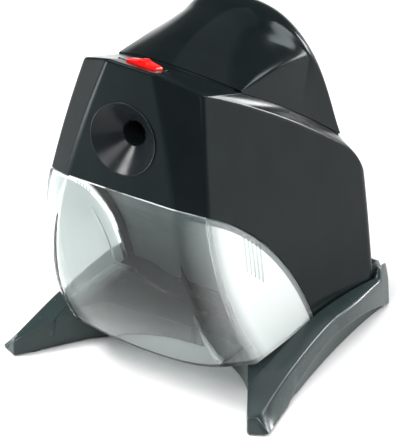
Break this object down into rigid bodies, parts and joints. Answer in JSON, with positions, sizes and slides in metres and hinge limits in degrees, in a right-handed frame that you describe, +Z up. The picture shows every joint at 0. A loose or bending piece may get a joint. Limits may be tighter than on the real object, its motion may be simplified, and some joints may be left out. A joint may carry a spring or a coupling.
{
  "type": "desktop pencil sharpener",
  "caption": "Desktop electric pencil sharpener: glossy black leaning body with a round pencil funnel, red rocker switch, clear pull-out shavings tray and a wide arched base.",
  "frame": {"origin": "on the floor plane under the middle of the whole object's box", "axes": "+Z up, the front with the pencil hole faces -Y, X across the body"},
  "size_m": [0.1234, 0.1218, 0.146],
  "materials": {
    "gloss_body": "glossy near-black ABS",
    "base_shell": "satin grey-green ABS",
    "pad_rubber": "matt",
    "steel_fixing": "zinc plated",
    "clear_tray": "clear polystyrene, faint grey-green tint",
    "black_trim": "glossy black",
    "rocker_red": "glossy, slightly translucent red",
    "inner_black": "matt black",
    "terminal_brass": "tinned brass",
    "frame_zinc": "die-cast zinc",
    "bush_bronze": "sintered bronze",
    "ring_steel": "sintered steel",
    "cutter_steel": "hardened and ground",
    "gear_nylon": "natural nylon",
    "pillar_steel": "turned steel",
    "motor_steel": "drawn and plated",
    "winding_copper": "enamelled copper winding",
    "board_green": "solder mask",
    "component_blue": "sleeved electronic parts",
    "plunger_red": "moulded",
    "wire_red": "insulated wire"
  },
  "bodies": {
    "housing": {"base": "base_shell", "base_plate": "base_shell", "rubber_feet": "pad_rubber", "base_screws": "steel_fixing", "main_housing": "gloss_body", "motor_cover": "gloss_body", "housing_screws": "steel_fixing", "tray_stop": "black_trim", "shavings_chute": "inner_black", "pencil_guide": "black_trim", "switch_bezel": "black_trim", "switch_body": "inner_black", "switch_terminals": "terminal_brass", "front_plate": "frame_zinc", "front_bush": "bush_bronze", "ring_gear": "ring_steel", "rear_plate": "frame_zinc", "rear_bush": "bush_bronze", "frame_pillars": "pillar_steel", "frame_screws": "steel_fixing", "motor_plate": "frame_zinc", "motor_spacers": "pillar_steel", "motor_can": "motor_steel", "motor_end_cap": "gear_nylon", "motor_screws": "steel_fixing", "circuit_board": "board_green", "board_components": "component_blue", "dc_jack": "inner_black", "jack_nut": "steel_fixing", "interlock_switch": "inner_black", "wiring": "wire_red"},
    "tray": {"shavings_tray": "clear_tray"},
    "rocker": {"power_rocker": "rocker_red"},
    "carrier": {"cutter_carrier": "frame_zinc", "carrier_gear": "gear_nylon", "cutter_pin": "cutter_steel"},
    "cutter": {"helical_cutter": "cutter_steel", "cutter_pinion": "ring_steel"},
    "idler": {"idler_gear": "gear_nylon", "idler_shaft": "cutter_steel", "idler_pinion": "gear_nylon"},
    "rotor": {"motor_shaft": "cutter_steel", "armature": "winding_copper", "motor_pinion": "terminal_brass"},
    "plunger": {"interlock_plunger": "plunger_red"}
  },
  "joints": [
    {"name": "tray_slide", "type": "slide", "parent": "housing", "child": "tray", "axis": [0, -1, 0], "range_m": [0, 0.09]},
    {"name": "rocker_tilt", "type": "hinge", "parent": "housing", "child": "rocker", "pos_m": [0, -0.04264, 0.13889], "axis": [0, 0.9205, -0.3907], "range_deg": [-7, 7]},
    {"name": "carrier_spin", "type": "hinge", "parent": "housing", "child": "carrier", "pos_m": [0, -0.01679, 0.11043], "axis": [0, 0.9903, -0.1392], "continuous": true},
    {"name": "cutter_spin", "type": "hinge", "parent": "carrier", "child": "cutter", "pos_m": [0, -0.03499, 0.10168], "axis": [0, 0.9994, 0.0349], "continuous": true},
    {"name": "idler_spin", "type": "hinge", "parent": "housing", "child": "idler", "pos_m": [0, 0.00023, 0.08784], "axis": [0, 0.9903, -0.1392], "continuous": true},
    {"name": "rotor_spin", "type": "hinge", "parent": "housing", "child": "rotor", "pos_m": [0, 0.02282, 0.10487], "axis": [0, 0.9903, -0.1392], "continuous": true},
    {"name": "plunger_press", "type": "slide", "parent": "housing", "child": "plunger", "axis": [0, 1, 0], "range_m": [0, 0.0018], "stiffness_N_per_m": 200, "springref_m": -0.002}
  ],
  "couplings": [
    {"joint": "cutter_spin", "follows": "carrier_spin", "ratio": -3},
    {"joint": "idler_spin", "follows": "carrier_spin", "ratio": -3.1667},
    {"joint": "rotor_spin", "follows": "carrier_spin", "ratio": 12.667}
  ]
}
